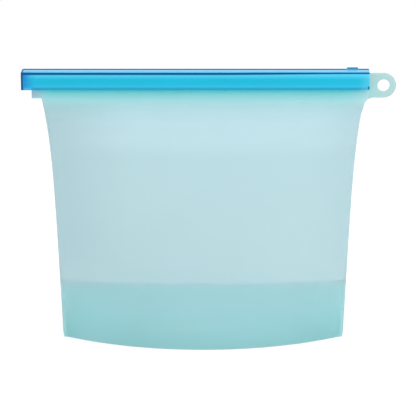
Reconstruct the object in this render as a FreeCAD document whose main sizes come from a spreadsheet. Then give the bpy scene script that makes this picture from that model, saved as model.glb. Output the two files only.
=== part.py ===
"""Reusable silicone food bag with a rigid slide bar and a hanging tab, in millimetres.

The bag stands on the floor z = 0 with its base spread and its mouth shut, its front
towards -Y and the hanging tab at +X. On the real bag all the silicone is one moulding. Here
it is divided into walls, gusset, seams, lips and tab, so that its mouth can open and its
tab can flex. Each sub-part is drawn about the bag's own middle plane x = 0. Its Placement
then moves that plane to centre_x, which puts the origin under the middle of the whole
object, and turns a back or left-hand piece half round.
"""

import FreeCAD, Part
import os

import Sketcher
from FreeCAD import Placement, Rotation, Vector

SIZES = {
    # the bag's outline, seen from the front
    "centre_x": -3.575,
    "base_half_width": 88.8,
    "side_flare": 6.74,
    "shoulder_flare": 4.6,
    "shoulder_power": 6,
    "rim_height": 154.7,
    # walls and side seams: depths are measured from the middle plane y = 0
    "wall_thickness": 1.1,
    "wall_gap": 0.15,
    "base_depth": 28.7,
    "rim_depth": 2.3,
    "bulge_power": 1.6,
    "seam_width": 3,
    "piece_gap": 0.1,
    # bottom gusset, a tent whose ridge runs from seam to seam
    "ridge_height": 36,
    "ridge_half_thickness": 0.7,
    "gusset_foot_depth": 27.4,
    "gusset_thickness": 1.4,
    # lips: a neck between the bar's jaws and a thicker head above them
    "lip_reach": 98,
    "lip_gap": 0.1,
    "neck_half_width": 2.3,
    "neck_top": 162.3,
    "head_half_width": 3.9,
    "head_top": 169.9,
    "bead_height": 166,
    "bead_radius": 0.95,
    "groove_radius": 1.1,
    "left_stub_reach": 106.1,
    "right_stub_reach": 102.4,
    # slide bar
    "bar_left_reach": 112.2,
    "bar_length": 214.8,
    "bar_bottom": 160.5,
    "bar_top": 172.1,
    "bar_half_depth": 5.5,
    "bar_side_wall": 1.4,
    "bar_top_wall": 1.5,
    "jaw_thickness": 1.3,
    "slot_half_width": 2.6,
    "end_wall": 1.6,
    "bar_edge_radius": 1.2,
    "bar_end_radius": 0.6,
    # thumb bump on the bar
    "bump_middle": 92.5,
    "bump_half_length": 4.4,
    "bump_slope": 1.2,
    "bump_rise": 1,
    "bump_setback": 2.7,
    "bump_width": 3,
    "bump_rounding": 0.5,
    # hanging tab and the web that carries it
    "tab_hole_x": 111.6,
    "tab_hole_height": 162.6,
    "tab_hole_radius": 3.8,
    "tab_radius": 7.75,
    "tab_thickness": 3,
    "tab_root_x": 103.7,
    "tab_root_rounding": 1.45,
    "web_end_x": 103.5,
    "web_foot_height": 149.4,
    "web_fillet_radius": 6,
    "web_fillet_x": 105.6,
    "web_fillet_height": 148.95,
}

# Shares of the rim's height at which the walls and seams get a cross-section.
SECTION_SHARES = (0, 0.25, 0.5, 0.75, 0.9, 1)

HALF_TURN = Rotation(Vector(0, 0, 1), 180)
NO_TURN = Rotation()
# How a sketch constraint names the sketch's origin point and its vertical axis.
ORIGIN = (-1, 1)
Y_AXIS = -2

# Edges to be rounded are found by their place, to this accuracy, and by this least length.
PLACE_TOLERANCE = 0.01
LEAST_LENGTH = 1


def make_sheet(doc):
    """The spreadsheet of driving dimensions: a name and a number in each row."""
    sheet = doc.addObject("Spreadsheet::Sheet", "Sizes")
    for row, (name, value) in enumerate(SIZES.items(), 1):
        sheet.set(f"A{row}", name)
        sheet.set(f"B{row}", str(value))
        sheet.setAlias(f"B{row}", name)
    doc.recompute()
    return sheet


def size(name):
    """The expression that reads one driving dimension."""
    return f"Sizes.{name}"


def half_width(share):
    """Half the bag's width at a share of the rim's height."""
    return (
        f"(Sizes.base_half_width + Sizes.side_flare * {share}"
        f" + Sizes.shoulder_flare * {share} ^ Sizes.shoulder_power)"
    )


def wall_depth(share):
    """How far a wall's outer face stands out from the middle plane at that share."""
    return (
        "(Sizes.rim_depth + (Sizes.base_depth - Sizes.rim_depth)"
        f" * (1 - {share} ^ Sizes.bulge_power))"
    )


def new_body(doc, label, turn=NO_TURN):
    """An empty body at the bag's middle plane, turned as asked."""
    body = doc.addObject("PartDesign::Body", label)
    body.Label = label
    body.Placement = Placement(Vector(0, 0, 0), turn)
    body.setExpression("Placement.Base.x", size("centre_x"))
    return body


def sketch_on(body, name, role, offset="0"):
    """A sketch on one of the body's own origin planes, moved along that plane's normal."""
    planes = [f for f in body.Origin.OriginFeatures if f.Role == role]
    sketch = body.newObject("Sketcher::SketchObject", name)
    sketch.AttachmentSupport = [(planes[0], "")]
    sketch.MapMode = "FlatFace"
    sketch.setExpression("AttachmentOffset.Base.z", offset)
    return sketch


def evaluate(sketch, expression):
    """The number that an expression gives."""
    value = sketch.evalExpression(expression)
    return float(getattr(value, "Value", value))


def drive(sketch, name, constraint, expression):
    """Adds a constraint with that name, whose value follows the expression."""
    index = sketch.addConstraint(constraint)
    sketch.renameConstraint(index, name)
    sketch.setExpression(f"Constraints.{name}", expression)


def pin(sketch, name, geometry, end, across, up):
    """Fixes one point of a sketch at (across, up), both expressions."""
    x = evaluate(sketch, across)
    y = evaluate(sketch, up)
    drive(sketch, f"{name}_x", Sketcher.Constraint("DistanceX", *ORIGIN, geometry, end, x), across)
    drive(sketch, f"{name}_y", Sketcher.Constraint("DistanceY", *ORIGIN, geometry, end, y), up)


def draw_outline(sketch, corners):
    """A closed outline of straight lines through corners, each a pair of expressions."""
    points = [Vector(evaluate(sketch, x), evaluate(sketch, y), 0) for x, y in corners]
    count = len(points)
    for i in range(count):
        sketch.addGeometry(Part.LineSegment(points[i], points[(i + 1) % count]))
    for i in range(count):
        sketch.addConstraint(Sketcher.Constraint("Coincident", i, 2, (i + 1) % count, 1))
    for i, (x, y) in enumerate(corners):
        pin(sketch, f"corner_{i}", i, 1, x, y)


def draw_circle(sketch, across, up, radius):
    """A circle with its centre at (across, up), all expressions."""
    centre = Vector(evaluate(sketch, across), evaluate(sketch, up), 0)
    value = evaluate(sketch, radius)
    sketch.addGeometry(Part.Circle(centre, Vector(0, 0, 1), value))
    pin(sketch, "centre", 0, 3, across, up)
    drive(sketch, "radius", Sketcher.Constraint("Radius", 0, value), radius)


def bowed_arc(half_chord, sagitta, end_y, front=True):
    """An arc between (-half_chord, end_y) and (half_chord, end_y), bowed to -Y or to +Y."""
    side = -1 if front else 1
    ends = [Vector(half_chord * s, end_y, 0) for s in (-1, 1)]
    return Part.Arc(ends[0], Vector(0, end_y + side * sagitta, 0), ends[1])


def arc_radius(half_chord, sagitta):
    """The radius of an arc of that half chord and sagitta."""
    return f"(({half_chord}) ^ 2 + ({sagitta}) ^ 2) / (2 * ({sagitta}))"


def constrain_arc(sketch, index, name, half_chord, sagitta, end_y):
    """Ties a bowed arc to its expressions. Its ends mirror each other about the Y axis."""
    radius = arc_radius(half_chord, sagitta)
    arc = sketch.Geometry[index]
    right_end = 1 if arc.StartPoint.x > 0 else 2
    sketch.addConstraint(Sketcher.Constraint("Symmetric", index, 1, index, 2, Y_AXIS))
    value = evaluate(sketch, radius)
    drive(sketch, f"{name}_radius", Sketcher.Constraint("Radius", index, value), radius)
    pin(sketch, f"{name}_end", index, right_end, half_chord, end_y)


def draw_crescent(sketch, half_chord, depth, gap, thickness):
    """A wall's cross-section: two equal arcs bowed to -Y, one wall thickness apart."""
    sagitta = f"({depth} - {gap} - {thickness})"
    outer_end = f"-({gap} + {thickness})"
    inner_end = f"-{gap}"
    bow = evaluate(sketch, sagitta)
    for end in (outer_end, inner_end):
        arc = bowed_arc(evaluate(sketch, half_chord), bow, evaluate(sketch, end))
        sketch.addGeometry(arc)
    constrain_arc(sketch, 0, "outer", half_chord, sagitta, outer_end)
    constrain_arc(sketch, 1, "inner", half_chord, sagitta, inner_end)
    for end in (1, 2):
        corners = [sketch.getPoint(index, end) for index in (0, 1)]
        line = sketch.addGeometry(Part.LineSegment(*corners))
        sketch.addConstraint(Sketcher.Constraint("Coincident", line, 1, 0, end))
        sketch.addConstraint(Sketcher.Constraint("Coincident", line, 2, 1, end))


def draw_lens(sketch, half_chord, sagitta):
    """Two arcs that meet in points on the X axis, one bowed to the front, one to the back."""
    chord = evaluate(sketch, half_chord)
    bow = evaluate(sketch, sagitta)
    sketch.addGeometry(bowed_arc(chord, bow, 0, front=True))
    sketch.addGeometry(bowed_arc(chord, bow, 0, front=False))
    constrain_arc(sketch, 0, "front", half_chord, sagitta, "0")
    value = evaluate(sketch, arc_radius(half_chord, sagitta))
    for end in (1, 2):
        same_side = end if same_x(sketch, end, end) else 3 - end
        sketch.addConstraint(Sketcher.Constraint("Coincident", 0, end, 1, same_side))
    radius = Sketcher.Constraint("Radius", 1, value)
    drive(sketch, "back_radius", radius, arc_radius(half_chord, sagitta))


def same_x(sketch, front_end, back_end):
    """Whether an end of arc 0 and an end of arc 1 lie on the same side."""
    return sketch.getPoint(0, front_end).x * sketch.getPoint(1, back_end).x > 0


def pad(body, sketch, length, both_ways=False):
    """Adds the sketch, extruded along its normal, or half each way."""
    feature = body.newObject("PartDesign::Pad", sketch.Name + "_pad")
    feature.Profile = sketch
    feature.Midplane = both_ways
    feature.setExpression("Length", length)
    return feature


def pocket(body, sketch, length, both_ways=False):
    """Cuts the sketch away, against its normal, or half each way, and proves that it cut."""
    body.Document.recompute()
    before = body.Shape.Volume
    feature = body.newObject("PartDesign::Pocket", sketch.Name + "_pocket")
    feature.Profile = sketch
    feature.Midplane = both_ways
    feature.setExpression("Length", length)
    body.Document.recompute()
    if body.Shape.Volume >= before:
        raise RuntimeError(f"{feature.Name} cut nothing from {body.Label}")
    return feature


def loft(body, kind, sketches):
    """A smooth loft through the sketches, which adds to or cuts from the body."""
    feature = body.newObject(f"PartDesign::{kind}", sketches[0].Name + "_loft")
    feature.Profile = sketches[0]
    feature.Sections = sketches[1:]
    return feature


def fillet(body, base, radius, chosen):
    """Rounds the edges of the base feature that the test chooses."""
    body.Document.recompute()
    edges = [f"Edge{i}" for i, edge in enumerate(base.Shape.Edges, 1) if chosen(edge.BoundBox)]
    if not edges:
        raise RuntimeError(f"no edge of {base.Name} was chosen to be rounded")
    feature = body.newObject("PartDesign::Fillet", base.Name + "_rounding")
    feature.Base = (base, edges)
    feature.setExpression("Radius", radius)
    return feature


def make_wall(doc, label, turn):
    """One wall, a thin sheet that bows out from the seams, lofted from floor to rim."""
    body = new_body(doc, label, turn)
    sections = []
    for i, share in enumerate(SECTION_SHARES):
        height = f"Sizes.rim_height * {share}"
        sketch = sketch_on(body, f"{label}_section_{i}", "XY_Plane", height)
        half_chord = f"({half_width(share)} - Sizes.seam_width - Sizes.piece_gap)"
        draw_crescent(
            sketch, half_chord, wall_depth(share), size("wall_gap"), size("wall_thickness")
        )
        sections.append(sketch)
    loft(body, "AdditiveLoft", sections)
    return body


def make_gusset(doc):
    """The bottom gusset: a thin tent over the floor whose ridge runs from seam to seam."""
    body = new_body(doc, "bottom_gusset")
    reach = f"({half_width(0)} - Sizes.seam_width - Sizes.piece_gap)"
    inner_reach = f"({reach} - Sizes.gusset_thickness)"
    inner_depth = "(Sizes.gusset_foot_depth - Sizes.gusset_thickness)"
    inner_ridge = "(Sizes.ridge_height - Sizes.gusset_thickness)"
    foot = sketch_on(body, "gusset_foot", "XY_Plane")
    draw_lens(foot, reach, size("gusset_foot_depth"))
    ridge = sketch_on(body, "gusset_ridge", "XY_Plane", size("ridge_height"))
    draw_lens(ridge, reach, size("ridge_half_thickness"))
    loft(body, "AdditiveLoft", [foot, ridge])
    hollow_foot = sketch_on(body, "gusset_hollow_foot", "XY_Plane")
    draw_lens(hollow_foot, inner_reach, inner_depth)
    hollow_ridge = sketch_on(body, "gusset_hollow_ridge", "XY_Plane", inner_ridge)
    draw_lens(hollow_ridge, inner_reach, "(Sizes.ridge_half_thickness / 2)")
    loft(body, "SubtractiveLoft", [hollow_foot, hollow_ridge])
    return body


def add_seam_strip(body, label):
    """The upright strip at +X where the two walls are joined, following the bag's side."""
    outer_y = "(Sizes.wall_gap + Sizes.wall_thickness)"
    sections = []
    for i, share in enumerate(SECTION_SHARES):
        height = f"Sizes.rim_height * {share}"
        sketch = sketch_on(body, f"{label}_section_{i}", "XY_Plane", height)
        outer_x = half_width(share)
        inner_x = f"({outer_x} - Sizes.seam_width)"
        corners = [
            (inner_x, f"-{outer_y}"),
            (outer_x, f"-{outer_y}"),
            (outer_x, outer_y),
            (inner_x, outer_y),
        ]
        draw_outline(sketch, corners)
        sections.append(sketch)
    loft(body, "AdditiveLoft", sections)


def add_joined_lips(body, name, reach):
    """The stub past the lips' end, where both lips are one piece in the bar's channel."""
    start = "(Sizes.lip_reach + Sizes.piece_gap)"
    sketch = sketch_on(body, name, "YZ_Plane", start)
    half = [
        (size("neck_half_width"), size("rim_height")),
        (size("neck_half_width"), size("neck_top")),
        (size("head_half_width"), size("neck_top")),
        (size("head_half_width"), size("head_top")),
    ]
    mirrored = [(f"-{y}", z) for y, z in reversed(half)]
    draw_outline(sketch, half + mirrored)
    pad(body, sketch, f"{reach} - {start}")


def make_left_seam(doc):
    """The left side seam with the lips' joined end, drawn at +X and turned to the left."""
    body = new_body(doc, "left_side_seam", HALF_TURN)
    add_seam_strip(body, "left_seam")
    add_joined_lips(body, "left_stub", size("left_stub_reach"))
    return body


def make_right_seam(doc):
    """The right side seam with the lips' joined end and the web that carries the tab."""
    body = new_body(doc, "right_side_seam")
    add_seam_strip(body, "right_seam")
    add_joined_lips(body, "right_stub", size("right_stub_reach"))
    web = sketch_on(body, "tab_web", "XZ_Plane")
    tab_top = "(Sizes.tab_hole_height + Sizes.tab_radius - Sizes.piece_gap)"
    inner_x = "(Sizes.lip_reach + Sizes.piece_gap)"
    corners = [
        (inner_x, size("web_foot_height")),
        (size("web_end_x"), size("web_foot_height")),
        (size("web_end_x"), tab_top),
        (size("right_stub_reach"), tab_top),
        (size("right_stub_reach"), size("rim_height")),
        (inner_x, size("rim_height")),
    ]
    draw_outline(web, corners)
    pad(body, web, size("tab_thickness"), both_ways=True)
    hollow = sketch_on(body, "web_fillet", "XZ_Plane")
    draw_circle(
        hollow, size("web_fillet_x"), size("web_fillet_height"), size("web_fillet_radius")
    )
    pocket(body, hollow, "2 * Sizes.tab_thickness", both_ways=True)
    return body


def make_lip(doc, label, turn):
    """One sealing lip, without its bead or groove: a neck with a thicker head."""
    body = new_body(doc, label, turn)
    sketch = sketch_on(body, f"{label}_profile", "YZ_Plane", "-Sizes.lip_reach")
    foot_z = "(Sizes.rim_height + Sizes.piece_gap)"
    corners = [
        ("-Sizes.lip_gap", foot_z),
        ("-Sizes.neck_half_width", foot_z),
        ("-Sizes.neck_half_width", size("neck_top")),
        ("-Sizes.head_half_width", size("neck_top")),
        ("-Sizes.head_half_width", size("head_top")),
        ("-Sizes.lip_gap", size("head_top")),
    ]
    draw_outline(sketch, corners)
    pad(body, sketch, "2 * Sizes.lip_reach")
    return body


def make_front_rim(doc):
    """The front lip, with a groove in its inner face for the back lip's bead."""
    body = make_lip(doc, "front_rim", NO_TURN)
    sketch = sketch_on(body, "groove", "YZ_Plane", "Sizes.lip_reach")
    draw_circle(sketch, "-Sizes.lip_gap", size("bead_height"), size("groove_radius"))
    pocket(body, sketch, "2 * Sizes.lip_reach")
    return body


def make_back_rim(doc):
    """The back lip, with a bead on its inner face, drawn as a front lip and turned."""
    body = make_lip(doc, "back_rim", HALF_TURN)
    sketch = sketch_on(body, "bead", "YZ_Plane", "-Sizes.lip_reach")
    draw_circle(sketch, "-Sizes.lip_gap", size("bead_height"), size("bead_radius"))
    pad(body, sketch, "2 * Sizes.lip_reach")
    return body


def add_bar_channel(body):
    """Cuts the channel for the lips' heads and the slot for their necks, open at +X."""
    right_end = "(Sizes.bar_length - Sizes.bar_left_reach)"
    sketch = sketch_on(body, "bar_channel", "YZ_Plane", right_end)
    channel_half = "(Sizes.bar_half_depth - Sizes.bar_side_wall)"
    jaw_top = "(Sizes.bar_bottom + Sizes.jaw_thickness)"
    channel_top = "(Sizes.bar_top - Sizes.bar_top_wall)"
    half = [
        (size("slot_half_width"), size("bar_bottom")),
        (size("slot_half_width"), jaw_top),
        (channel_half, jaw_top),
        (channel_half, channel_top),
    ]
    mirrored = [(f"-{y}", z) for y, z in reversed(half)]
    draw_outline(sketch, half + mirrored)
    pocket(body, sketch, "Sizes.bar_length - Sizes.end_wall")


def add_thumb_bump(body):
    """The low grip along the bar's back top edge, near its open end.

    The XZ plane's normal points towards -Y, so a setback behind it is a negative offset.
    """
    sketch = sketch_on(body, "thumb_bump", "XZ_Plane", "-Sizes.bump_setback")
    foot_z = "(Sizes.bar_top - Sizes.bar_top_wall / 2)"
    top_z = "(Sizes.bar_top + Sizes.bump_rise)"
    top_half = "(Sizes.bump_half_length - Sizes.bump_slope)"
    corners = [
        ("Sizes.bump_middle - Sizes.bump_half_length", foot_z),
        ("Sizes.bump_middle + Sizes.bump_half_length", foot_z),
        (f"Sizes.bump_middle + {top_half}", top_z),
        (f"Sizes.bump_middle - {top_half}", top_z),
    ]
    draw_outline(sketch, corners)
    bump = pad(body, sketch, size("bump_width"), both_ways=True)
    above_bar = SIZES["bar_top"] + PLACE_TOLERANCE
    fillet(body, bump, size("bump_rounding"), lambda box: box.ZMax > above_bar)


def make_slide_bar(doc):
    """The rigid bar: a channel with jaws below, a closed left end and a thumb bump."""
    body = new_body(doc, "slide_bar")
    sketch = sketch_on(body, "bar_profile", "YZ_Plane", "-Sizes.bar_left_reach")
    corners = [
        ("-Sizes.bar_half_depth", size("bar_bottom")),
        (size("bar_half_depth"), size("bar_bottom")),
        (size("bar_half_depth"), size("bar_top")),
        ("-Sizes.bar_half_depth", size("bar_top")),
    ]
    draw_outline(sketch, corners)
    block = pad(body, sketch, size("bar_length"))
    just_below_top = SIZES["bar_top"] - PLACE_TOLERANCE
    just_past_left = PLACE_TOLERANCE - SIZES["bar_left_reach"]

    def on_top(box):
        """The long top edges and the closed end's top edge."""
        at_left = box.XMax < just_past_left
        return box.ZMin > just_below_top and (box.XLength > LEAST_LENGTH or at_left)

    def upright_at_left(box):
        """The closed end's two upright edges."""
        at_left = box.XMax < just_past_left
        return at_left and box.ZMax < just_below_top and box.ZLength > LEAST_LENGTH

    rounded = fillet(body, block, size("bar_edge_radius"), on_top)
    fillet(body, rounded, size("bar_end_radius"), upright_at_left)
    add_bar_channel(body)
    add_thumb_bump(body)
    return body


def make_hanging_tab(doc):
    """The tab at the open end: a plate with a round end and a hole, its root rounded."""
    body = new_body(doc, "hanging_tab")
    plate = sketch_on(body, "tab_plate", "XZ_Plane")
    bottom = "(Sizes.tab_hole_height - Sizes.tab_radius)"
    top = "(Sizes.tab_hole_height + Sizes.tab_radius)"
    corners = [
        (size("tab_root_x"), bottom),
        (size("tab_hole_x"), bottom),
        (size("tab_hole_x"), top),
        (size("tab_root_x"), top),
    ]
    draw_outline(plate, corners)
    pad(body, plate, size("tab_thickness"), both_ways=True)
    disc = sketch_on(body, "tab_disc", "XZ_Plane")
    draw_circle(disc, size("tab_hole_x"), size("tab_hole_height"), size("tab_radius"))
    pad(body, disc, size("tab_thickness"), both_ways=True)
    hole = sketch_on(body, "tab_hole", "XZ_Plane")
    draw_circle(hole, size("tab_hole_x"), size("tab_hole_height"), size("tab_hole_radius"))
    holed = pocket(body, hole, "2 * Sizes.tab_thickness", both_ways=True)
    just_past_root = SIZES["tab_root_x"] + PLACE_TOLERANCE

    def upright_at_root(box):
        """The root's two upright edges."""
        return box.XMax < just_past_root and box.ZLength > LEAST_LENGTH

    fillet(body, holed, size("tab_root_rounding"), upright_at_root)
    return body


def check(doc, bodies):
    """Stops the build if any object failed or any sub-part isn't one sound solid."""
    failed = [o.Name for o in doc.Objects if "Invalid" in o.State or "Error" in o.State]
    if failed:
        raise RuntimeError(f"these objects failed: {failed}")
    for body in bodies:
        shape = body.Shape
        if shape.isNull() or not shape.isValid() or len(shape.Solids) != 1:
            raise RuntimeError(f"{body.Label} isn't one valid solid")


def main():
    doc = FreeCAD.newDocument("silicone_bag")
    make_sheet(doc)
    bodies = [
        make_wall(doc, "front_wall", NO_TURN),
        make_wall(doc, "back_wall", HALF_TURN),
        make_gusset(doc),
        make_left_seam(doc),
        make_right_seam(doc),
        make_front_rim(doc),
        make_back_rim(doc),
        make_slide_bar(doc),
        make_hanging_tab(doc),
    ]
    doc.recompute()
    check(doc, bodies)
    os.makedirs("parts", exist_ok=True)
    for body in bodies:
        body.Shape.exportStep(f"parts/{body.Label}.step")


main()
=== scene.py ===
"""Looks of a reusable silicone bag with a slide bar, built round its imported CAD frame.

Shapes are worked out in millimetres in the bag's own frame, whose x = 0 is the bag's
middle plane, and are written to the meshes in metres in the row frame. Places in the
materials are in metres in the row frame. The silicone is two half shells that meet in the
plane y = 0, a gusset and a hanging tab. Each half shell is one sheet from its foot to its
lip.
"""

import math

import bpy
import numpy as np

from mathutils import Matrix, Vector


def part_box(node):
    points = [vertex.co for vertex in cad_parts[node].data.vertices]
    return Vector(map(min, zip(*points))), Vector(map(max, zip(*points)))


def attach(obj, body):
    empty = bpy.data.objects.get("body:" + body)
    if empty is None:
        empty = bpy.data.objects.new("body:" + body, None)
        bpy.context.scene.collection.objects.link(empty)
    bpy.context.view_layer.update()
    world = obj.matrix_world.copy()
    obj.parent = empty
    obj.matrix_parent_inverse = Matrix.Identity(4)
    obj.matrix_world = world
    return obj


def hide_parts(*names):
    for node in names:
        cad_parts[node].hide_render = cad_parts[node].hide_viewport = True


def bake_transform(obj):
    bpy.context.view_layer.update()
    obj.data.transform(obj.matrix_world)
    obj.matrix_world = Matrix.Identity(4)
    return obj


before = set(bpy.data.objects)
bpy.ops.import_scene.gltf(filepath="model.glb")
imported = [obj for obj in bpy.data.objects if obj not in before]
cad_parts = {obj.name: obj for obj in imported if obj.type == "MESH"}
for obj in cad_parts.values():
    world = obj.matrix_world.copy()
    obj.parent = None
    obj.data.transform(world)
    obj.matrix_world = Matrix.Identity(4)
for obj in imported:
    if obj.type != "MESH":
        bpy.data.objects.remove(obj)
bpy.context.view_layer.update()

MM = 0.001


def box_mm(name):
    """A CAD node's lowest and highest corner in millimetres, in the bag's own frame."""
    low, high = (np.array(corner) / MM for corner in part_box(name))
    shift = np.array([MIDDLE_X, 0, 0])
    return low - shift, high - shift


# Places taken from the frame.
wall_low, wall_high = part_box("front_wall")
MIDDLE_X = (wall_low.x + wall_high.x) / 2 / MM
RIM_Z = wall_high.z / MM
BASE_DEPTH = -wall_low.y / MM
STUB_LEFT = box_mm("left_side_seam")[0][0]
LIP_LOW, LIP_HIGH = box_mm("front_rim")
TAB_LOW, TAB_HIGH = box_mm("hanging_tab")
TAB_RADIUS = (TAB_HIGH[2] - TAB_LOW[2]) / 2
TAB_X = TAB_HIGH[0] - TAB_RADIUS
TAB_Z = (TAB_HIGH[2] + TAB_LOW[2]) / 2

# The bar and its ends, in metres in the row frame. Its top is the face below the bump.
slide_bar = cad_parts["slide_bar"]
bar_low, bar_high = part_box("slide_bar")
BUMP_RISE = 0.001
BAR_LEFT, BAR_RIGHT = bar_low.x, bar_high.x
BAR_BOTTOM, BAR_TOP = bar_low.z, bar_high.z - BUMP_RISE

# The bag's outline, seen from the front. The web is the strip below the tab, which ends in
# a round fillet.
BASE_HALF_WIDTH = 88.8
SIDE_FLARE = 6.74
SHOULDER_FLARE = 4.6
SHOULDER_POWER = 6
CORNER_HEIGHT = 5.0
CORNER_PULL = 0.5
WEB_X, WEB_Z, WEB_RADIUS = 105.6, 148.95, 6.0
WEB_SWELL, WEB_SWELL_START = 0.65, 144.5
RIGHT_END = 102.4

# The sheet: its thickness in the walls and at the neck below the lips, the walls' bulge,
# and the rounding of its edges and foot.
WALL = 1.15
NECK, NECK_START = 2.2, 145
PARTING_GAP = 0.06
SEAM_WIDTH = 2.5
BULGE_POWER = 1.6
BULGE_TOP = 151.0
BULGE_LEAST = 0.05
BULGE_FADE_START = 140
SOFTNESS, SOFTNESS_GAIN, SOFTNESS_START = 1.2, 2.5, 110
EDGE_RADIUS = 1.1
END_RADIUS, END_RADIUS_START = 0.35, 149
FOOT_RADIUS = 0.5
LEAST_ROUNDING = 0.05
SHARP_ANGLE = 48

# Spacing of the sheet's columns and rows, closer where it curves most. The body and the
# shoulder have a first row, a last row and a count.
EDGE_STEPS = np.array([0, 0.08, 0.25, 0.5, 0.85, 1.3, 2, 3, 4.5, 6.5])
STUB_STEPS = np.array([0, 0.08, 0.2, 0.4, 1.2, 2.6, 4.2])
MIDDLE_COLUMNS = 150
FOOT_ROWS = 0, 0.08, 0.25, 0.5, 0.9, 1.5, 2.3, 3.3, 4.5
BODY_ROWS = 6, 138, 78
SHOULDER_ROWS = 139.5, RIM_Z - 0.1, 19

# The lips: a neck and a thicker head, whose roundings are a radius and a number of points,
# a bead that enters a groove, and how a lip bends open.
NECK_Y = 2.3
HEAD_Z = 162.3
NECK_ROUNDING = 0.3, 4
HEAD_FOOT_ROUNDING = 0.4, 5
HEAD_TOP_ROUNDING = 1.5, 9
PARTING_ROUNDING = 0.4, 4
BEAD_Z = 166.0
BEAD_RADIUS = 0.95
GROOVE_RADIUS = 1.1
BEAD_POINTS = 11
LIP_POINTS = 36

# The gusset: its ridge, its clearance from the walls, and its thinner ends in the seams.
RIDGE_END_Z = 37.3
RIDGE_MIDDLE_Z = 34.8
RIDGE_FOLD = 0.035
GUSSET_SHEET = 1.0
GUSSET_CLEARANCE = 0.75
SEAM_THINNING = 0.5
GUSSET_INSET = 0.15
GUSSET_COLUMNS, GUSSET_ROWS = 161, 61
GUSSET_CROWDING = 1.5
SEAM_LEAF_Y = 0.35

# The tab. The ring round its hole is given as distances out from the hole and rises. Its
# edges are rounded in steps that are shares of their radius.
HOLE_RADIUS, HOLE_ROUNDING = 3.8, 0.5
RING = (1.0, 0.10), (1.6, 0.10), (2.1, 0)
TAB_HALF, TAB_ROUNDING = 1.4, 0.9
ROUNDING_STEPS = 0, 0.1, 0.3, 0.6, 1
TAB_START = RIGHT_END - 0.9
TAB_DIP, TAB_DIP_START, TAB_DIP_END = 0.9, TAB_START - 0.5, 105.5
TAB_SINK = 0.1
TAB_COLUMNS = 192
FARTHEST_EDGE, HALVINGS = 16.0, 40

# The floor, lights and camera.
FLOOR_SIZE = 8.0
FLOOR_COLOUR = (0.9, 0.9, 0.9, 1)
FLOOR_FADE, FLOOR_LEAST_GLOW = (0.35, 1.6), 0.3
LIGHT_AIM = Vector((0, 0, 0.1))
CAMERA_AIM = Vector((-0.0005, 0, 0.0842))
CAMERA_DISTANCE, CAMERA_ELEVATION = 1.4, 14.4
CAMERA_LENS, CAMERA_CLIP_END = 193.2, 50


def smoothstep(x, low, high):
    """0 below low, 1 above high, and a smooth rise between them."""
    t = np.clip((x - low) / (high - low), 0, 1)
    return t * t * (3 - 2 * t)


def rounding(distance, radius):
    """The height of a quarter circle at a distance from its edge, from 0 to 1."""
    t = np.clip(distance / radius, 0, 1)
    return np.sqrt(1 - (1 - t) ** 2)


def side_reach(z):
    """Half the bag's width at a height."""
    share = z / RIM_Z
    reach = BASE_HALF_WIDTH + SIDE_FLARE * share + SHOULDER_FLARE * share**SHOULDER_POWER
    return reach - CORNER_PULL * (1 - np.clip(z / CORNER_HEIGHT, 0, 1)) ** 2


def right_reach(z):
    """The right edge, which sweeps out below the tab in the web's round fillet."""
    lower = side_reach(z) + WEB_SWELL * smoothstep(z, WEB_SWELL_START, WEB_Z)
    drop = np.clip(z - WEB_Z, 0, WEB_RADIUS)
    fillet = WEB_X - np.sqrt(WEB_RADIUS**2 - drop**2)
    return np.minimum(np.where(z > WEB_Z, np.maximum(lower, fillet), lower), RIGHT_END)


def inner_bow(x, z):
    """How far the inner face of a wall stands out from the middle plane."""
    sagitta = (BASE_DEPTH - WALL) * (1 - (z / BULGE_TOP) ** BULGE_POWER)
    chord = side_reach(z) - SEAM_WIDTH
    positive = np.maximum(sagitta, BULGE_LEAST)
    radius = (chord**2 + positive**2) / (2 * positive)
    arc = np.sqrt(np.maximum(radius**2 - x**2, 0)) - (radius - positive)
    bow = arc + np.minimum(sagitta, 0)
    softness = SOFTNESS + SOFTNESS_GAIN * smoothstep(z, SOFTNESS_START, BULGE_TOP)
    soft = (bow + np.sqrt(bow**2 + softness**2)) / 2
    edge = side_reach(z) - np.abs(x)
    soft = soft * smoothstep(edge, 0, SEAM_WIDTH)
    return PARTING_GAP + soft * (1 - smoothstep(z, BULGE_FADE_START, RIM_Z))


def column_positions(left, right):
    """Columns from a left edge to a right edge, close together near both edges."""
    inner = np.linspace(0, 1, MIDDLE_COLUMNS + 2)[1:-1]
    start, stop = left + EDGE_STEPS[-1], right - EDGE_STEPS[-1]
    middle = start[:, None] + (stop - start)[:, None] * inner
    near_left, near_right = left[:, None] + EDGE_STEPS, right[:, None] - EDGE_STEPS[::-1]
    return np.hstack([near_left, middle, near_right])


def arc_points(centre, radius, start, stop, count):
    """Points of an arc in the y-z plane, between two angles in degrees."""
    angles = np.radians(np.linspace(start, stop, count))
    y, z = centre
    return [(y + radius * math.cos(a), z + radius * math.sin(a)) for a in angles]


def rounded_corner(corner, towards, size, start, stop):
    """Points of an arc that rounds off a corner and lies on the side of the two signs."""
    radius, count = size
    centre = [place + sign * radius for place, sign in zip(corner, towards)]
    return arc_points(centre, radius, start, stop, count)


def refine(points, count):
    """Halves the longest stretches of a path until it has that many points."""
    points = [tuple(p) for p in points]
    while len(points) < count:
        lengths = [math.dist(a, b) for a, b in zip(points, points[1:])]
        i = int(np.argmax(lengths))
        middle = tuple((a + b) / 2 for a, b in zip(points[i], points[i + 1]))
        points.insert(i + 1, middle)
    return np.array(points)


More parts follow.
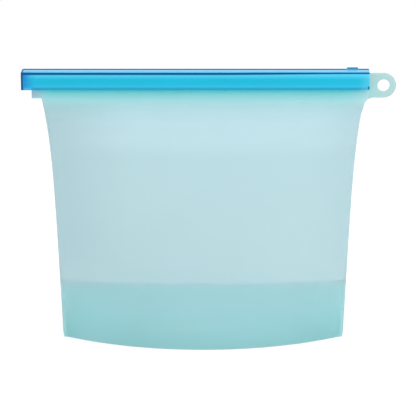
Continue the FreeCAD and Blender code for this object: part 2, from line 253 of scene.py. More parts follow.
def lip_paths(front):
    """Outer and inner outline of a lip above the rim line, as (y, z) rows of one length."""
    head_y, top = -LIP_LOW[1], LIP_HIGH[2]
    bead = (PARTING_GAP, BEAD_Z)
    outer = [(NECK_Y, RIM_Z),
             *rounded_corner((NECK_Y, HEAD_Z), (1, -1), NECK_ROUNDING, 180, 90),
             *rounded_corner((head_y, HEAD_Z), (-1, 1), HEAD_FOOT_ROUNDING, -90, 0),
             *rounded_corner((head_y, top), (-1, -1), HEAD_TOP_ROUNDING, 0, 90)]
    if front:
        seal = arc_points(bead, GROOVE_RADIUS, -90, 90, BEAD_POINTS)
    else:
        seal = arc_points(bead, BEAD_RADIUS, -90, -270, BEAD_POINTS)
    inner = [(PARTING_GAP, RIM_Z), *seal,
             *rounded_corner((PARTING_GAP, top), (1, -1), PARTING_ROUNDING, 180, 90)]
    return refine(outer, LIP_POINTS), refine(inner, LIP_POINTS)


def build_mesh(name, points_mm, faces, material):
    """A mesh object from points in the bag's own frame, with its rest place stored."""
    place = (points_mm + np.array([MIDDLE_X, 0, 0])) * MM
    mesh = bpy.data.meshes.new(name)
    mesh.from_pydata(place.tolist(), [], [tuple(int(i) for i in face) for face in faces])
    rest = mesh.attributes.new("rest", "FLOAT_VECTOR", "POINT")
    rest.data.foreach_set("vector", place.astype(np.float32).ravel())
    mesh.polygons.foreach_set("use_smooth", [True] * len(mesh.polygons))
    mesh.set_sharp_from_angle(angle=math.radians(SHARP_ANGLE))
    mesh.materials.append(material)
    mesh.update()
    obj = bpy.data.objects.new(name, mesh)
    bpy.context.scene.collection.objects.link(obj)
    return obj


def shell_faces(present):
    """Faces of a closed shell between two grids, given which grid points are present.

    Point (row, column) of the outer grid is number index[row, column], and the same point
    of the inner grid comes after all the outer ones.
    """
    index = -np.ones(present.shape, int)
    index[present] = np.arange(present.sum())
    a, b = index[:-1, :-1], index[:-1, 1:]
    c, d = index[1:, 1:], index[1:, :-1]
    whole = (a >= 0) & (b >= 0) & (c >= 0) & (d >= 0)
    outer = np.stack([a[whole], b[whole], c[whole], d[whole]], axis=1)
    count = int(present.sum())
    edges = np.vstack([outer[:, [i, (i + 1) % 4]] for i in range(4)])
    directed = {tuple(edge) for edge in edges.tolist()}
    border = [(p, q) for p, q in directed if (q, p) not in directed]
    sides = np.array([(q, p, p + count, q + count) for p, q in sorted(border)])
    return np.vstack([outer, outer[:, ::-1] + count, sides])


def wall_rows():
    """Heights of the sheet's rows from the floor to just below the rim line."""
    return np.concatenate([FOOT_ROWS, np.linspace(*BODY_ROWS), np.linspace(*SHOULDER_ROWS)])


def edge_fullness(x, left, right, is_lip, z_side):
    """How full the sheet's thickness is towards its left and right edge, from 0 to 1."""
    left_edge = np.where(is_lip, STUB_LEFT, left)[:, None]
    left_radius = np.where(is_lip, END_RADIUS, EDGE_RADIUS)[:, None]
    blunt = smoothstep(z_side, END_RADIUS_START, RIM_Z)
    right_radius = (EDGE_RADIUS + (END_RADIUS - EDGE_RADIUS) * blunt)[:, None]
    rounded = rounding(x - left_edge, left_radius)
    rounded = rounded * rounding(right[:, None] - x, right_radius)
    return np.maximum(rounded, LEAST_ROUNDING)


def wall_depths(x, z_grid, z_wall, fullness):
    """How far a wall's outer and inner face stand from the middle plane.

    The sheet is as thick across its slope as it is where it stands upright.
    """
    bow = inner_bow(x, z_grid)
    thickness = WALL + (NECK - WALL) * smoothstep(z_grid, NECK_START, RIM_Z)
    slope_x = np.gradient(bow, axis=1) / np.gradient(x, axis=1)
    slope_z = np.zeros((len(z_grid), 1))
    slope_z[: len(z_wall), 0] = np.gradient(inner_bow(0 * z_wall, z_wall), z_wall)
    slant = np.sqrt(1 + np.clip(slope_x, -1, 1) ** 2 + slope_z**2)
    foot = FOOT_RADIUS * (1 - rounding(z_grid, FOOT_RADIUS))
    return bow + (thickness * slant - foot) * fullness, bow


def lip_depths(paths, wall_count, fullness):
    """How far a lip's outer and inner face stand from the middle plane."""
    outer, inner = (np.concatenate([np.zeros(wall_count), path[:, 0]])[:, None]
                    for path in paths)
    return inner + (outer - inner) * fullness, inner


def half_shell_grids(front):
    """Outer and inner grids of one half of the bag, bowed to -Y, and which points exist."""
    z_wall, paths = wall_rows(), lip_paths(front)
    z_outer, z_inner = (np.concatenate([z_wall, path[:, 1]]) for path in paths)
    is_lip = np.arange(len(z_outer)) >= len(z_wall)
    z_side = np.where(is_lip, RIM_Z, z_outer)
    left, right = -side_reach(z_side), right_reach(z_side)
    right[is_lip] = RIGHT_END
    stub = np.tile(STUB_LEFT + STUB_STEPS, (len(z_outer), 1))
    x = np.hstack([stub, column_positions(left, right)])
    present = np.ones(x.shape, bool)
    present[~is_lip, : len(STUB_STEPS)] = False

    fullness = edge_fullness(x, left, right, is_lip, z_side)
    outer_z, inner_z = (np.broadcast_to(z[:, None], x.shape) for z in (z_outer, z_inner))
    wall = wall_depths(x, outer_z, z_wall, fullness)
    lip = lip_depths(paths, len(z_wall), fullness)
    outer_y, inner_y = (np.where(is_lip[:, None], *pair) for pair in zip(lip, wall))
    outer = np.stack([x, -outer_y, outer_z], axis=-1)
    inner = np.stack([x, -inner_y, inner_z], axis=-1)
    return outer, inner, present


def make_half(name, front, nodes, material):
    """One half of the bag: wall and lip in one sheet."""
    outer, inner, present = half_shell_grids(front)
    points = np.vstack([outer[present], inner[present]])
    faces = shell_faces(present)
    if not front:
        points = points * np.array([1, -1, 1])
        faces = faces[:, ::-1]
    half = build_mesh(name, points, faces, material)
    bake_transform(half)
    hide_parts(*nodes)


def make_gusset(material):
    """The base sheet: a tent folded up between the walls and joined to them at its ends.

    Towards each end it flattens into the side seam, where it is thinner.
    """
    u = np.sin(np.linspace(-1, 1, GUSSET_COLUMNS) * math.pi / 2)
    p = np.linspace(-1, 1, GUSSET_ROWS)
    p = np.sign(p) * np.abs(p) ** GUSSET_CROWDING
    u_grid, p_grid = np.meshgrid(u, p)
    ridge_z = RIDGE_MIDDLE_Z + (RIDGE_END_Z - RIDGE_MIDDLE_Z) * u_grid**2
    span = math.sqrt(1 + RIDGE_FOLD**2) - RIDGE_FOLD
    z = ridge_z * (1 - (np.sqrt(p_grid**2 + RIDGE_FOLD**2) - RIDGE_FOLD) / span)
    x = u_grid * (side_reach(z) - GUSSET_INSET)
    foot_y = inner_bow(u_grid * (side_reach(0) - GUSSET_INSET), 0 * z)
    in_seam = 1 - smoothstep(side_reach(z) - np.abs(x), SEAM_WIDTH, 2 * SEAM_WIDTH)
    half = GUSSET_SHEET / 2 * (1 - SEAM_THINNING * in_seam)
    y = np.maximum(foot_y - PARTING_GAP - GUSSET_CLEARANCE, SEAM_LEAF_Y) * p_grid
    dy, dz = np.gradient(y, axis=0), np.gradient(z, axis=0)
    length = np.sqrt(dy**2 + dz**2)
    ny, nz = -dz / length * half, dy / length * half
    upper = np.stack([x, y + ny, np.maximum(z + nz, 0)], axis=-1)
    lower = np.stack([x, y - ny, np.maximum(z - nz, 0)], axis=-1)
    points = np.vstack([upper.reshape(-1, 3), lower.reshape(-1, 3)])
    faces = shell_faces(np.ones(x.shape, bool))
    gusset = build_mesh("gusset_sheet", points, faces, material)
    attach(gusset, "bag")
    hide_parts("bottom_gusset", "left_side_seam", "right_side_seam")


def tab_top(x):
    """The tab's upper edge, which dips a little where it meets the bar."""
    return TAB_HIGH[2] - TAB_DIP * (1 - smoothstep(x, TAB_DIP_START, TAB_DIP_END))


def tab_bottom(x):
    """The tab's lower edge, the end of the web's fillet and then straight."""
    run = np.clip(WEB_X - x, 0, WEB_RADIUS)
    return WEB_Z - TAB_SINK + np.sqrt(WEB_RADIUS**2 - run**2)


def inside_tab(x, z):
    """Whether a point lies within the tab's outline, the hole left aside."""
    near_root = (x < TAB_X) & (x > TAB_START) & (z < tab_top(x)) & (z > tab_bottom(x))
    round_end = (x >= TAB_X) & ((x - TAB_X) ** 2 + (z - TAB_Z) ** 2 < TAB_RADIUS**2)
    return near_root | round_end


def around_hole(radius, angles):
    """The x and z of points at a distance from the hole's middle."""
    return TAB_X + radius * np.cos(angles), TAB_Z + radius * np.sin(angles)


def tab_reach(angles):
    """Distance from the hole's middle to the tab's outline, found by halving."""
    low, high = np.full(angles.shape, HOLE_RADIUS), np.full(angles.shape, FARTHEST_EDGE)
    for _ in range(HALVINGS):
        middle = (low + high) / 2
        inside = inside_tab(*around_hole(middle, angles))
        low, high = np.where(inside, middle, low), np.where(inside, high, middle)
    return low


def edge_height(inset, radius):
    """The tab's half thickness at a distance in from one of its rounded edges."""
    return TAB_HALF - radius * (1 - float(rounding(inset, radius)))


def tab_section():
    """A closed cut through the tab from hole to rim: (share, inset in mm, y in mm) rows.

    A share of 0 is the hole's edge and 1 the outer edge. The inset is added outward from
    the hole or inward from the outer edge.
    """
    hole = [(0, inset, edge_height(inset, HOLE_ROUNDING))
            for inset in (step * HOLE_ROUNDING for step in ROUNDING_STEPS)]
    ring = [(0, inset, TAB_HALF + rise) for inset, rise in RING]
    rim = [(1, -inset, edge_height(inset, TAB_ROUNDING))
           for inset in (step * TAB_ROUNDING for step in reversed(ROUNDING_STEPS))]
    face = hole + ring + rim
    return [(s, i, -y) for s, i, y in face] + [(s, i, y) for s, i, y in reversed(face)]


def make_tab(material):
    """The hanging tab: a plate with a round end, a hole and soft edges."""
    corners = [math.atan2(float(edge(TAB_START)) - TAB_Z, TAB_START - TAB_X)
               for edge in (tab_top, tab_bottom)]
    even = np.linspace(-math.pi, math.pi, TAB_COLUMNS + 1)[:-1]
    angles = np.unique(np.concatenate([even, corners]))
    reach = tab_reach(angles)
    rows = []
    for share, inset, y in tab_section():
        radius = HOLE_RADIUS + (reach - HOLE_RADIUS) * share + inset
        x, z = around_hole(radius, angles)
        rows.append(np.stack([x, np.full(x.shape, y), z], axis=-1))
    grid = np.array(rows)
    count, around = grid.shape[:2]
    index = np.arange(count * around).reshape(count, around)
    after, beside = np.roll(index, -1, axis=0), np.roll(index, -1, axis=1)
    both = np.roll(after, -1, axis=1)
    faces = np.stack([index, after, both, beside], axis=-1).reshape(-1, 4)
    tab = build_mesh("hanging_tab_ring", grid.reshape(-1, 3), faces, material)
    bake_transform(tab)
    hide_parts("hanging_tab")


def srgb(red, green, blue):
    """A colour given as 0 to 255 in sRGB, as linear values for a shader."""
    shares = np.array([red, green, blue]) / 255
    linear = np.where(shares > 0.04045, ((shares + 0.055) / 1.055) ** 2.4, shares / 12.92)
    return (*[float(v) for v in linear], 1.0)


WHITE = (1, 1, 1, 1)

# The share of a soft band's half width over which it is at its full strength.
BAND_CORE = 0.35

# The silicone's see-through share in the thin walls, in the thick lips and tab, and at the
# gusset's foot, and the colours of its milky part and of its see-through part.
SHEET_CLEAR, LIP_CLEAR, FOOT_CLEAR = 0.42, 0.2, 0.08
MILK_PALE, MILK_DEEP = srgb(168, 204, 211), srgb(160, 198, 205)
# The gusset's milk is paler than the walls': painted light that lifts the shade inside the
# bag.
FOLD_PALE, FOLD_DEEP = srgb(198, 246, 247), srgb(190, 242, 243)
# Of the wall milks below, the low one is painted shade towards the floor, the side one
# painted shade on the sides, the bright one a painted highlight and the corner one painted
# light on the lower corners.
MILK_HIGH, MILK_SHADED_FOOT = srgb(167, 205, 212), srgb(140, 186, 190)
MILK_SHADED_SIDE, MILK_PAINTED_HIGHLIGHT = srgb(153, 191, 200), srgb(192, 224, 234)
MILK_LIT_CORNER, MILK_SEAM = srgb(176, 220, 224), srgb(156, 184, 188)
LIP_MILK, TAB_MILK = srgb(192, 222, 226), srgb(142, 188, 189)
# The next two milks and the second see-through colour are painted blue light that stands in
# for light through the bar, below its shut end and along it.
MILK_LIT_BELOW_BAR_END, MILK_LIT_BY_BAR = srgb(176, 202, 218), srgb(86, 226, 228)
CLEAR, CLEAR_LIT_BY_BAR = srgb(250, 250, 250), srgb(116, 228, 228)

# The silicone's surface: cloudiness, a fine grain and a satin skin.
CLOUD_SCALE, CLOUD_DETAIL = 26.0, 3.0
GRAIN_SCALE, GRAIN_DETAIL = 1400.0, 2.0
GRAIN_STRENGTH, GRAIN_DEPTH = 0.06, 0.0004
SATIN_ROUGHNESS, SILICONE_IOR, SATIN_SHARE = 0.38, 1.41, 0.7
TRANSLUCENT_SHARE = 0.5

# Where the silicone changes, as ranges of height and of distance across from the line where
# the painted light is brightest, and the most of each tint that is mixed in. The painted
# highlight band is a middle and a half width. The seams lean outward, so their distance
# from the middle is eased with height.
BRIGHT_X = 0.009
HIGH_UP = 0.05, 0.13
# Painted light and shade: shaded sides, a highlight band, lit lower corners and a shaded
# foot.
SIDE_UP, SIDE_ACROSS, SIDE_SHARE = (0.03, 0.06), (0.05, 0.115), 0.8
BRIGHT_BAND, BRIGHT_ACROSS, BRIGHT_SHARE = (0.138, 0.022), (0.05, 0.11), 0.36
CORNER_UP, CORNER_ACROSS, CORNER_SHARE = (0.030, 0.042), (0.045, 0.09), 0.55
LOW_UP, LOW_ACROSS, LOW_SIDE_SHARE = (0.0, 0.024), (0.05, 0.09), 0.35
SEAM_UP, SEAM_ACROSS, SEAM_SHARE = (0.035, 0.06), (0.0858, 0.0884), 0.85
SEAM_LEAN = 0.0436
LIP_UP, LIP_CLEAR_UP = (0.148, RIM_Z * MM), (0.150, RIM_Z * MM)
GUSSET_CLEAR_UP, RIDGE_FADE_UP = (0.002, 0.026), (0.031, 0.0385)
BURIED_FADE = 0.0002

# A ray that has passed fewer see-through surfaces than this has passed none.
ONE_PASSED = 0.5

# How far the painted blue light, which stands in for light passing through the bar, reaches
# into the silicone, along the bar and at its shut end. Heights are above the bar's lower
# edge.
GLOW_REACH = 0.005
GLOW_STARTS = BAR_LEFT + 0.002, BAR_LEFT + 0.020
GLOW_STOPS = BAR_RIGHT - 0.018, BAR_RIGHT + 0.012
END_GLOW_STOPS = BAR_LEFT + 0.0073, BAR_LEFT + 0.0163
END_GLOW_ABOVE = -0.0125, -0.0085

# The bar's plastic: its colours and surface.
PLASTIC_PALE, PLASTIC_DEEP = srgb(6, 191, 223), srgb(0, 185, 214)
UPPER_TINT, LOWER_TINT = srgb(80, 214, 248), srgb(52, 190, 220)
LOWEST_TINT, PAST_LIPS_TINT = srgb(4, 152, 196), srgb(20, 128, 200)
# The top faces' tint is a painted highlight.
OPEN_END_TINT, TOP_HIGHLIGHT_TINT = srgb(110, 206, 230), srgb(116, 182, 232)
BUMP_TINT, DARK_TINT = srgb(36, 102, 148), srgb(4, 76, 122)
PLASTIC_CLEAR, PLASTIC_CLEAR_SHARE = srgb(96, 222, 250), 0.3
FLOW_SCALE, FLOW_DETAIL = 45.0, 2.0
PLASTIC_TRANSLUCENT_SHARE = 0.1
POLISH_ROUGHNESS, PLASTIC_IOR = 0.08, 1.5
POLISH_SHARE, DARK_POLISH_SHARE = 0.55, 0.2

# Where the plastic changes: ranges of place on the bar, of how level a face is, and of how
# edge on it is seen. The line of the top wall's lower face rises along the bar and has a
# half width. The mark is a middle height and a half width.
EDGE_ON_BLEND, OUTLINE_EDGE_ON = 0.5, (0.86, 0.97)
LEVEL, TOP_LEVEL = (0.5, 0.75), (0.5, 0.98)
LINE_ALONG, LINE_UP = (0.0, 0.095), (BAR_TOP - 0.0013, BAR_TOP - 0.0007)
LINE_HALF = 0.0012
END_WALL_STOPS = BAR_LEFT + 0.0009, BAR_LEFT + 0.0021
FAR_WALL_DEPTH, FAR_WALL_STARTS, LOWEST_EYE = 0.0010, (0.0050, 0.0060), 0.1
MARK_STARTS = BAR_RIGHT - 0.0014, BAR_RIGHT - 0.0008
MARK_BAND = BAR_BOTTOM + 0.0015, 0.0012
UPPER_UP = BAR_TOP - 0.0055, BAR_TOP - 0.0015
LOWER_UP = BAR_BOTTOM + 0.0018, BAR_BOTTOM + 0.0042
LOWEST_UP = BAR_BOTTOM + 0.0010, BAR_BOTTOM + 0.0022
PAST_LIPS_STOPS = BAR_LEFT + 0.0005, BAR_LEFT + 0.0095
OPEN_END_STARTS, OPEN_END_SHARE = (BAR_RIGHT - 0.008, BAR_RIGHT), 0.4
BUMP_UP = BAR_TOP + 0.0001, BAR_TOP + 0.0005


def new_material(name):
    """An empty node material and its tree."""
    material = bpy.data.materials.new(name)
    material.use_nodes = True
    material.node_tree.nodes.clear()
    return material, material.node_tree


def node(tree, kind, settings=None, **inputs):
    """A node with its settings and inputs; an input is a value or a socket to link.

    Inputs are given by name, or by an underscore and their number.
    """
    made = tree.nodes.new(kind)
    for key, value in (settings or {}).items():
        setattr(made, key, value)
    for key, value in inputs.items():
        socket = made.inputs[int(key[1:]) if key[0] == "_" else key]
        if isinstance(value, bpy.types.NodeSocket):
            tree.links.new(value, socket)
        else:
            socket.default_value = value
    return made


def split(tree, vector):
    """The X, Y and Z sockets of a vector."""
    return node(tree, "ShaderNodeSeparateXYZ", Vector=vector).outputs


def geometry_socket(tree, name):
    """One output of the geometry node."""
    return tree.nodes.new("ShaderNodeNewGeometry").outputs[name]


def maths(tree, operation, *values):
    """The result of one arithmetic node."""
    inputs = {f"_{number}": value for number, value in enumerate(values)}
    return node(tree, "ShaderNodeMath", {"operation": operation}, **inputs).outputs[0]


def product(tree, first, second):
    """Two values multiplied."""
    return maths(tree, "MULTIPLY", first, second)


def difference(tree, first, second):
    """The second value taken from the first."""
    return maths(tree, "SUBTRACT", first, second)


def apart(tree, first, second):
    """How far apart two values are."""
    return maths(tree, "ABSOLUTE", difference(tree, first, second))


def either(tree, *masks):
    """The strongest of several masks."""
    result = masks[0]
    for mask in masks[1:]:
        result = maths(tree, "MAXIMUM", result, mask)
    return result


def ramp(tree, value, low, high, start=0.0, stop=1.0):
    """A smooth change from start to stop as a value goes from low to high."""
    made = node(tree, "ShaderNodeMapRange", {"interpolation_type": "SMOOTHSTEP"},
                Value=value, _1=low, _2=high, _3=start, _4=stop)
    return made.outputs[0]


def fall(tree, value, low, high):
    """A smooth change from 1 to 0 as a value goes from low to high."""
    return ramp(tree, value, low, high, 1.0, 0.0)


def band(tree, value, middle, half):
    """A soft mask that is 1 at a middle value and 0 a half width to either side."""
    return fall(tree, apart(tree, value, middle), half * BAND_CORE, half)


def mix_colour(tree, factor, first, second):
    """Two colours mixed by a factor."""
    mixed = node(tree, "ShaderNodeMix", {"data_type": "RGBA"},
                 _0=factor, _6=first, _7=second)
    return mixed.outputs[2]


def layered(tree, colour, layers):
    """A colour with others laid over it in turn, each given as a mask and a colour."""
    for mask, above in layers:
        colour = mix_colour(tree, mask, colour, above)
    return colour


def noise(tree, place, scale, detail):
    """The strength of a noise texture at a place."""
    made = node(tree, "ShaderNodeTexNoise", Vector=place, Scale=scale, Detail=detail)
    return made.outputs["Fac"]


def shader(tree, kind, **inputs):
    """The first output of a shading node, given the end of its kind."""
    return node(tree, "ShaderNode" + kind, **inputs).outputs[0]


def mix_shader(tree, factor, first, second):
    """Two shaders mixed by a factor."""
    return shader(tree, "MixShader", _0=factor, _1=first, _2=second)


def hidden_where(tree, mask, shown):
    """A shader that turns fully clear where a mask is 1."""
    return mix_shader(tree, mask, shown, shader(tree, "BsdfTransparent", Color=WHITE))


def set_solid_surface(tree, shown):
    """Gives a solid its shader and makes its far surface clear, so that each sheet counts
    once along a ray."""
    visible = hidden_where(tree, geometry_socket(tree, "Backfacing"), shown)
    node(tree, "ShaderNodeOutputMaterial", Surface=visible)


def bar_place(tree):
    """A point's x, and its height above the bar's lower edge.

    Both are in the bar's own axes, so the painted blue light from the bar goes wherever the
    bar is slid to.
    """
    from_bar = node(tree, "ShaderNodeTexCoord", {"object": slide_bar}).outputs["Object"]
    place = split(tree, from_bar)
    return place["X"], difference(tree, place["Z"], BAR_BOTTOM)


def painted_bar_light(tree, along, above):
    """How strongly the painted blue light, standing in for light through the bar, shows in
    the silicone along the bar.
    """
    fading = maths(tree, "DIVIDE", maths(tree, "ABSOLUTE", above), -GLOW_REACH)
    along_bar = product(tree, ramp(tree, along, *GLOW_STARTS),
                        fall(tree, along, *GLOW_STOPS))
    return product(tree, maths(tree, "EXPONENT", fading), along_bar)


def painted_bar_end_light(tree, along, above):
    """How strongly the painted blue light from the bar's shut end tints the silicone below
    it.
    """
    return product(tree, fall(tree, along, *END_GLOW_STOPS),
                   ramp(tree, above, *END_GLOW_ABOVE))


def wall_tints(tree, place):
    """The tints of the walls below the lips, as masks and colours to lay over the milk.

    Most are painted light and shade: shade on the sides and towards the floor, a highlight
    high on the body and light on the lower corners.
    """
    height = place["Z"]
    across = apart(tree, place["X"], BRIGHT_X)
    reach = difference(tree, apart(tree, place["X"], MIDDLE_X * MM),
                       product(tree, height, SEAM_LEAN))
    # Painted shade on the sides.
    side = product(tree, ramp(tree, across, *SIDE_ACROSS, 0.0, SIDE_SHARE),
                   ramp(tree, height, *SIDE_UP))
    # A painted highlight high on the body.
    painted_highlight = product(tree, band(tree, height, *BRIGHT_BAND),
                     ramp(tree, across, *BRIGHT_ACROSS, BRIGHT_SHARE, 0.0))
    # Painted light on the lower corners.
    corner = product(tree, ramp(tree, across, *CORNER_ACROSS, 0.0, CORNER_SHARE),
                     fall(tree, height, *CORNER_UP))
    # Painted shade towards the floor, weaker at the sides.
    low = product(tree, ramp(tree, across, *LOW_ACROSS, 1.0, LOW_SIDE_SHARE),
                  fall(tree, height, *LOW_UP))
    seam = product(tree, ramp(tree, reach, *SEAM_ACROSS, 0.0, SEAM_SHARE),
                   fall(tree, height, *SEAM_UP))
    return [(ramp(tree, height, *HIGH_UP), MILK_HIGH), (side, MILK_SHADED_SIDE),
            (painted_highlight, MILK_PAINTED_HIGHLIGHT), (corner, MILK_LIT_CORNER), (low, MILK_SHADED_FOOT),
            (seam, MILK_SEAM)]


def silicone_sheet(tree, rest, milky, clear_share, glow):
    """Translucent silicone: part see-through, part milky, with a satin skin.

    What is seen through it is painted blue where light through the bar would fall.
    """
    grain = noise(tree, rest, GRAIN_SCALE, GRAIN_DETAIL)
    bump = node(tree, "ShaderNodeBump", Strength=GRAIN_STRENGTH, Distance=GRAIN_DEPTH,
                Height=grain)
    normal = bump.outputs["Normal"]
    milk = mix_shader(tree, TRANSLUCENT_SHARE,
                      shader(tree, "BsdfDiffuse", Color=milky, Normal=normal),
                      shader(tree, "BsdfTranslucent", Color=milky, Normal=normal))
    # The see-through part is painted blue where light through the bar would fall.
    clear = mix_colour(tree, glow, CLEAR, CLEAR_LIT_BY_BAR)
    through = shader(tree, "BsdfTransparent", Color=clear)
    skin = shader(tree, "BsdfGlossy", Roughness=SATIN_ROUGHNESS, Normal=normal)
    fresnel = shader(tree, "Fresnel", IOR=SILICONE_IOR, Normal=normal)
    sheet = mix_shader(tree, clear_share, milk, through)
    return mix_shader(tree, product(tree, fresnel, SATIN_SHARE), sheet, skin)


def rest_place(tree):
    """Where a point of the silicone is at rest, so that tints are tied to its rest shape.
    """
    return node(tree, "ShaderNodeAttribute", {"attribute_name": "rest"}).outputs["Vector"]


def wall_silicone(name, lip_milk, buried_to=None):
    """The silicone of a wall and its lip, or of the tab, which is as thick as a lip.

    Painted blue light, standing in for light through the bar, shows in it near the bar. A
    tab's root is buried in the walls as far out as buried_to, and is clear there.
    """
    material, tree = new_material(name)
    rest = rest_place(tree)
    place = split(tree, rest)
    height = place["Z"]
    from_bar = bar_place(tree)
    glow = painted_bar_light(tree, *from_bar)
    cloud = noise(tree, rest, CLOUD_SCALE, CLOUD_DETAIL)
    milky = layered(tree, mix_colour(tree, cloud, MILK_PALE, MILK_DEEP), [
        # Mostly painted light and shade on the walls.
        *wall_tints(tree, place),
        (ramp(tree, height, *LIP_UP), lip_milk),
        # Painted blue light from the bar, below its shut end and along it.
        (painted_bar_end_light(tree, *from_bar), MILK_LIT_BELOW_BAR_END),
        (glow, MILK_LIT_BY_BAR)])
    clear_share = ramp(tree, height, *LIP_CLEAR_UP, SHEET_CLEAR, LIP_CLEAR)
    shown = silicone_sheet(tree, rest, milky, clear_share, glow)
    if buried_to is not None:
        buried = fall(tree, place["X"], buried_to - BURIED_FADE, buried_to)
        shown = hidden_where(tree, buried, shown)
    set_solid_surface(tree, shown)
    return material


def gusset_silicone():
    """The silicone of the gusset, which is milkier at its foot.

    The milky wall in front blurs the ridge, so the ridge fades out for every ray that
    doesn't come straight from the camera.
    """
    material, tree = new_material("folded_silicone")
    rest = rest_place(tree)
    height = split(tree, rest)["Z"]
    cloud = noise(tree, rest, CLOUD_SCALE, CLOUD_DETAIL)
    # Paler than the walls' milk: painted light that lifts the shade inside the bag.
    milky = mix_colour(tree, cloud, FOLD_PALE, FOLD_DEEP)
    clear_share = ramp(tree, height, *GUSSET_CLEAR_UP, FOOT_CLEAR, SHEET_CLEAR)
    # Painted blue light from the bar.
    glow = painted_bar_light(tree, *bar_place(tree))
    shown = silicone_sheet(tree, rest, milky, clear_share, glow)
    path = node(tree, "ShaderNodeLightPath").outputs
    first_hit = maths(tree, "LESS_THAN", path["Transparent Depth"], ONE_PASSED)
    direct = product(tree, path["Is Camera Ray"], first_hit)
    faded = product(tree, difference(tree, 1.0, direct), ramp(tree, height, *RIDGE_FADE_UP))
    set_solid_surface(tree, hidden_where(tree, faded, shown))
    return material


def far_side(tree, place):
    """How far beyond the bar's middle line the eye looks through its top, in metres.

    The lower the eye, the further its line runs along the channel's inside before it has
    sunk by the depth at which the far wall looks dark.
    """
    toward_eye = split(tree, geometry_socket(tree, "Incoming"))
    across = product(tree, place["Y"], toward_eye["Y"])
    level = maths(tree, "MAXIMUM", toward_eye["Z"], LOWEST_EYE)
    return difference(tree, maths(tree, "DIVIDE", FAR_WALL_DEPTH, level), across)


def dark_parts(tree, place, upward):
    """Where the plastic looks dark: every outline, the line of the top wall's lower face,
    the shut end's wall, the far wall seen through the top, and a mark at the open end."""
    edge_on = node(tree, "ShaderNodeLayerWeight", Blend=EDGE_ON_BLEND).outputs["Facing"]
    outline = ramp(tree, edge_on, *OUTLINE_EDGE_ON)
    line_height = ramp(tree, place["X"], *LINE_ALONG, *LINE_UP)
    top_line = product(tree, band(tree, place["Z"], line_height, LINE_HALF),
                       fall(tree, upward, *LEVEL))
    end_wall = fall(tree, place["X"], *END_WALL_STOPS)
    far_wall = product(tree, ramp(tree, far_side(tree, place), *FAR_WALL_STARTS),
                       ramp(tree, upward, *LEVEL))
    mark = product(tree, ramp(tree, place["X"], *MARK_STARTS),
                   band(tree, place["Z"], *MARK_BAND))
    return either(tree, outline, top_line, end_wall, far_wall, mark)


def tinted_plastic():
    """Clear hard plastic with a blue tint, dark where the eye looks along its thickness,
    and with a painted highlight on its level top faces.
    """
    material, tree = new_material("tinted_plastic")
    local = node(tree, "ShaderNodeTexCoord").outputs["Object"]
    place = split(tree, local)
    along, height = place["X"], place["Z"]
    facing = split(tree, geometry_socket(tree, "Normal"))
    upward = maths(tree, "ABSOLUTE", facing["Z"])
    dark = dark_parts(tree, place, upward)
    flow = noise(tree, local, FLOW_SCALE, FLOW_DETAIL)
    tint = layered(tree, mix_colour(tree, flow, PLASTIC_DEEP, PLASTIC_PALE), [
        (ramp(tree, height, *UPPER_UP), UPPER_TINT),
        (fall(tree, height, *LOWER_UP), LOWER_TINT),
        (fall(tree, height, *LOWEST_UP), LOWEST_TINT),
        (fall(tree, along, *PAST_LIPS_STOPS), PAST_LIPS_TINT),
        (ramp(tree, along, *OPEN_END_STARTS, 0.0, OPEN_END_SHARE), OPEN_END_TINT),
        # A painted highlight on the level top faces.
        (ramp(tree, upward, *TOP_LEVEL), TOP_HIGHLIGHT_TINT),
        (ramp(tree, height, *BUMP_UP), BUMP_TINT),
        (dark, DARK_TINT)])
    solid = mix_shader(tree, PLASTIC_TRANSLUCENT_SHARE,
                       shader(tree, "BsdfDiffuse", Color=tint),
                       shader(tree, "BsdfTranslucent", Color=tint))
    through = shader(tree, "BsdfTransparent", Color=PLASTIC_CLEAR)
    clear_share = product(tree, difference(tree, 1.0, dark), PLASTIC_CLEAR_SHARE)
    sheet = mix_shader(tree, clear_share, solid, through)
    polish = shader(tree, "BsdfGlossy", Roughness=POLISH_ROUGHNESS)
    polish_share = ramp(tree, dark, 0.0, 1.0, POLISH_SHARE, DARK_POLISH_SHARE)
    shine = product(tree, shader(tree, "Fresnel", IOR=PLASTIC_IOR), polish_share)
    set_solid_surface(tree, mix_shader(tree, shine, sheet, polish))
    return material


def paint_bar(material):
    """Gives the CAD bar its plastic."""
    slide_bar.data.materials.clear()
    slide_bar.data.materials.append(material)


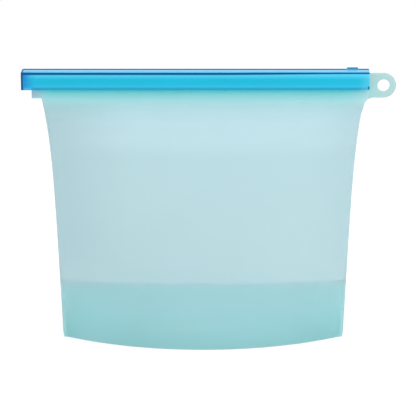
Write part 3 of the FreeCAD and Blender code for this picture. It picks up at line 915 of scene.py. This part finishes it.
def make_floor():
    """A wide pale floor that fades into the background colour far from the object."""
    bpy.ops.mesh.primitive_plane_add(size=FLOOR_SIZE, location=(0, 0, 0))
    floor = bpy.context.object
    floor.name = "floor"
    material, tree = new_material("pale_floor")
    place = node(tree, "ShaderNodeTexCoord").outputs["Object"]
    distance = node(tree, "ShaderNodeVectorMath", {"operation": "LENGTH"}, _0=place)
    far = ramp(tree, distance.outputs["Value"], *FLOOR_FADE, FLOOR_LEAST_GLOW, 1.0)
    near = shader(tree, "BsdfDiffuse", Color=FLOOR_COLOUR)
    glow = shader(tree, "Emission", Color=WHITE, Strength=1.0)
    node(tree, "ShaderNodeOutputMaterial", Surface=mix_shader(tree, far, near, glow))
    floor.data.materials.append(material)


def face_towards(obj, direction):
    """Turns a light or camera, which look down their own -Z, to look in a direction."""
    obj.rotation_euler = direction.to_track_quat("-Z", "Y").to_euler()


def add_area_light(name, place, size, power):
    """A square soft light that faces the bag."""
    data = bpy.data.lights.new(name, "AREA")
    data.size = size
    data.energy = power
    light = bpy.data.objects.new(name, data)
    light.location = place
    face_towards(light, LIGHT_AIM - Vector(place))
    bpy.context.scene.collection.objects.link(light)


def light_scene():
    """An even white surround with a large soft light above and one from the front right."""
    world = bpy.data.worlds.new("surround")
    world.use_nodes = True
    background = world.node_tree.nodes["Background"]
    background.inputs["Color"].default_value = WHITE
    background.inputs["Strength"].default_value = 1.0
    bpy.context.scene.world = world
    add_area_light("top_light", place=(0.1, -0.2, 1.3), size=1.2, power=9)
    add_area_light("front_light", place=(1.0, -1.0, 0.5), size=0.8, power=7)
    bpy.context.scene.view_settings.view_transform = "Standard"


def add_camera():
    """The camera in front of the bag, a little above it, with a long lens."""
    data = bpy.data.cameras.new("camera")
    data.lens = CAMERA_LENS
    data.clip_end = CAMERA_CLIP_END
    camera = bpy.data.objects.new("camera", data)
    elevation = math.radians(CAMERA_ELEVATION)
    back = Vector((0, -math.cos(elevation), math.sin(elevation)))
    camera.location = CAMERA_AIM + back * CAMERA_DISTANCE
    face_towards(camera, -back)
    bpy.context.scene.collection.objects.link(camera)
    bpy.context.scene.camera = camera


wall_rubber = wall_silicone("silicone", LIP_MILK)
make_half("front_half", True, ("front_wall", "front_rim"), wall_rubber)
make_half("back_half", False, ("back_wall", "back_rim"), wall_rubber)
make_gusset(gusset_silicone())
make_tab(wall_silicone("tab_silicone", TAB_MILK, buried_to=(RIGHT_END + MIDDLE_X) * MM))
paint_bar(tinted_plastic())
make_floor()
light_scene()
add_camera()
